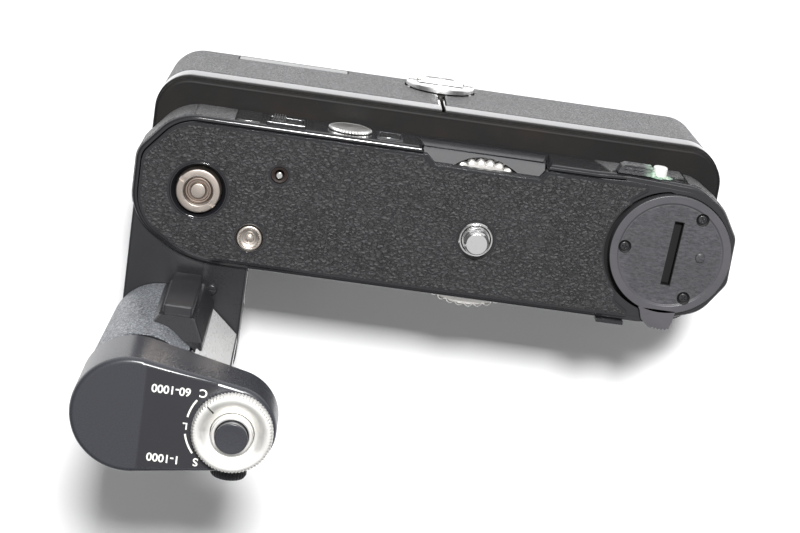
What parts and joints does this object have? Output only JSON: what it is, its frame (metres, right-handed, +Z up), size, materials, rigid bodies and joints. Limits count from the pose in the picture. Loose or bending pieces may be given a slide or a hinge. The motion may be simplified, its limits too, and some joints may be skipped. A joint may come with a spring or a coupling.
{
  "type": "camera motor drive",
  "caption": "Film-camera motor drive with a flat mounting plate, screw wheel, film-door key, pistol grip with mode dial and release, and a slide-out battery pack.",
  "frame": {"origin": "middle of the bounding box in plan, at the underside of the battery pack", "axes": "+Z up out of the camera plate, +X along the body away from the grip, +Y towards the rear, where the frame counter is"},
  "size_m": [0.153, 0.0782, 0.1303],
  "materials": {
    "black_paint": "satin black lacquer on die-cast metal",
    "gloss_black": "glossy black",
    "leather": "black pebbled leatherette",
    "chrome": "satin chrome, lightly worn",
    "steel": "plain steel",
    "brass": "plain brass",
    "rubber": "matte black rubber",
    "plastic": "matte black plastic",
    "board": "green lacquered board with dark parts",
    "cell": "printed jacket of a dry cell",
    "glass": "clear window",
    "label": "grey etched plate, blank"
  },
  "bodies": {
    "drive": {"motor_housing": "black_paint", "top_plate": "black_paint", "plate_leather": "leather", "key_seat": "black_paint", "data_plate": "label", "rear_leather_left": "leather", "switch_frame": "steel", "counter_glass": "glass", "rear_bar": "plastic", "terminal_pin": "chrome", "circuit_board": "board", "motor_can": "steel", "grip_core": "black_paint", "grip_leather": "leather", "grip_panel": "gloss_black", "pad_base": "gloss_black", "buffer_pad": "rubber", "grip_head": "black_paint", "head_label": "plastic", "release_sleeve": "chrome", "terminal_socket": "steel", "pack_roof": "black_paint", "supply_contact_left": "brass", "supply_contact_right": "brass"},
    "door_key": {"door_key": "black_paint", "key_screw_1": "steel", "key_screw_2": "steel", "key_screw_3": "steel", "key_shaft": "steel"},
    "wheel": {"attach_wheel": "chrome", "camera_screw": "chrome"},
    "spindle": {"drive_spindle": "chrome"},
    "idler": {"idler_gear": "brass"},
    "rotor": {"motor_rotor": "steel"},
    "plunger": {"rewind_plunger": "chrome"},
    "contact": {"contact_pin": "chrome"},
    "dial": {"mode_dial": "chrome"},
    "button": {"release_button": "plastic"},
    "counter": {"counter_dial": "chrome"},
    "switch": {"power_switch": "gloss_black"},
    "cap": {"terminal_cap": "rubber"},
    "lock": {"lock_disc": "chrome"},
    "bail": {"lock_bail": "chrome"},
    "left_clip": {"left_clip": "gloss_black", "left_leather": "leather", "left_contact": "brass", "badge": "label", "cell_left_1": "cell", "cell_left_2": "cell", "cell_left_3": "cell", "cell_left_4": "cell", "cell_left_5": "cell"},
    "right_clip": {"right_clip": "gloss_black", "right_leather": "leather", "right_contact": "brass", "cell_right_1": "cell", "cell_right_2": "cell", "cell_right_3": "cell", "cell_right_4": "cell", "cell_right_5": "cell"}
  },
  "joints": [
    {"name": "door_key_turn", "type": "hinge", "parent": "drive", "child": "door_key", "pos_m": [0.06035, 0.01263, 0.0605], "axis": [0, 0, 1], "range_deg": [0, 100]},
    {"name": "wheel_turn", "type": "hinge", "parent": "drive", "child": "wheel", "pos_m": [0.01185, 0.00958, 0.055], "axis": [0, 0, 1], "continuous": true},
    {"name": "drive_turn", "type": "hinge", "parent": "drive", "child": "spindle", "pos_m": [-0.05765, 0.01232, 0.0493], "axis": [0, 0, 1], "continuous": true},
    {"name": "idler_turn", "type": "hinge", "parent": "drive", "child": "idler", "pos_m": [-0.06083, -0.00944, 0.051], "axis": [0, 0, 1], "continuous": true},
    {"name": "motor_turn", "type": "hinge", "parent": "drive", "child": "rotor", "pos_m": [-0.06315, -0.02527, 0.0494], "axis": [0, 0, 1], "continuous": true},
    {"name": "rewind_press", "type": "slide", "parent": "drive", "child": "plunger", "axis": [0, 0, -1], "range_m": [0, 0.0015], "stiffness_N_per_m": 600, "springref_m": -0.001},
    {"name": "contact_press", "type": "slide", "parent": "drive", "child": "contact", "axis": [0, 0, -1], "range_m": [0, 0.001], "stiffness_N_per_m": 300, "springref_m": -0.001},
    {"name": "dial_turn", "type": "hinge", "parent": "drive", "child": "dial", "pos_m": [-0.04025, -0.02538, 0.1248], "axis": [0, 0, 1], "range_deg": [0, 86]},
    {"name": "release_press", "type": "slide", "parent": "drive", "child": "button", "axis": [0, 0, -1], "range_m": [0, 0.0016], "stiffness_N_per_m": 500, "springref_m": -0.001},
    {"name": "counter_turn", "type": "hinge", "parent": "drive", "child": "counter", "pos_m": [-0.02285, 0.03103, 0.055], "axis": [0, 1, 0], "range_deg": [0, 300]},
    {"name": "switch_slide", "type": "slide", "parent": "drive", "child": "switch", "axis": [1, 0, 0], "range_m": [0, 0.0036]},
    {"name": "cap_pull", "type": "slide", "parent": "drive", "child": "cap", "axis": [0, -1, 0], "range_m": [0, 0.008]},
    {"name": "lock_turn", "type": "hinge", "parent": "drive", "child": "lock", "pos_m": [0.00055, 0.03673, 0.0109], "axis": [0, 1, 0], "range_deg": [0, 90]},
    {"name": "bail_lift", "type": "hinge", "parent": "lock", "child": "bail", "pos_m": [0.00055, 0.03852, 0.0109], "axis": [1, 0, 0], "range_deg": [0, 95]},
    {"name": "left_clip_slide", "type": "slide", "parent": "drive", "child": "left_clip", "axis": [-1, 0, 0], "range_m": [0, 0.06]},
    {"name": "right_clip_slide", "type": "slide", "parent": "drive", "child": "right_clip", "axis": [1, 0, 0], "range_m": [0, 0.06]}
  ],
  "couplings": [
    {"joint": "idler_turn", "follows": "drive_turn", "ratio": -1.2},
    {"joint": "motor_turn", "follows": "drive_turn", "ratio": 2}
  ]
}
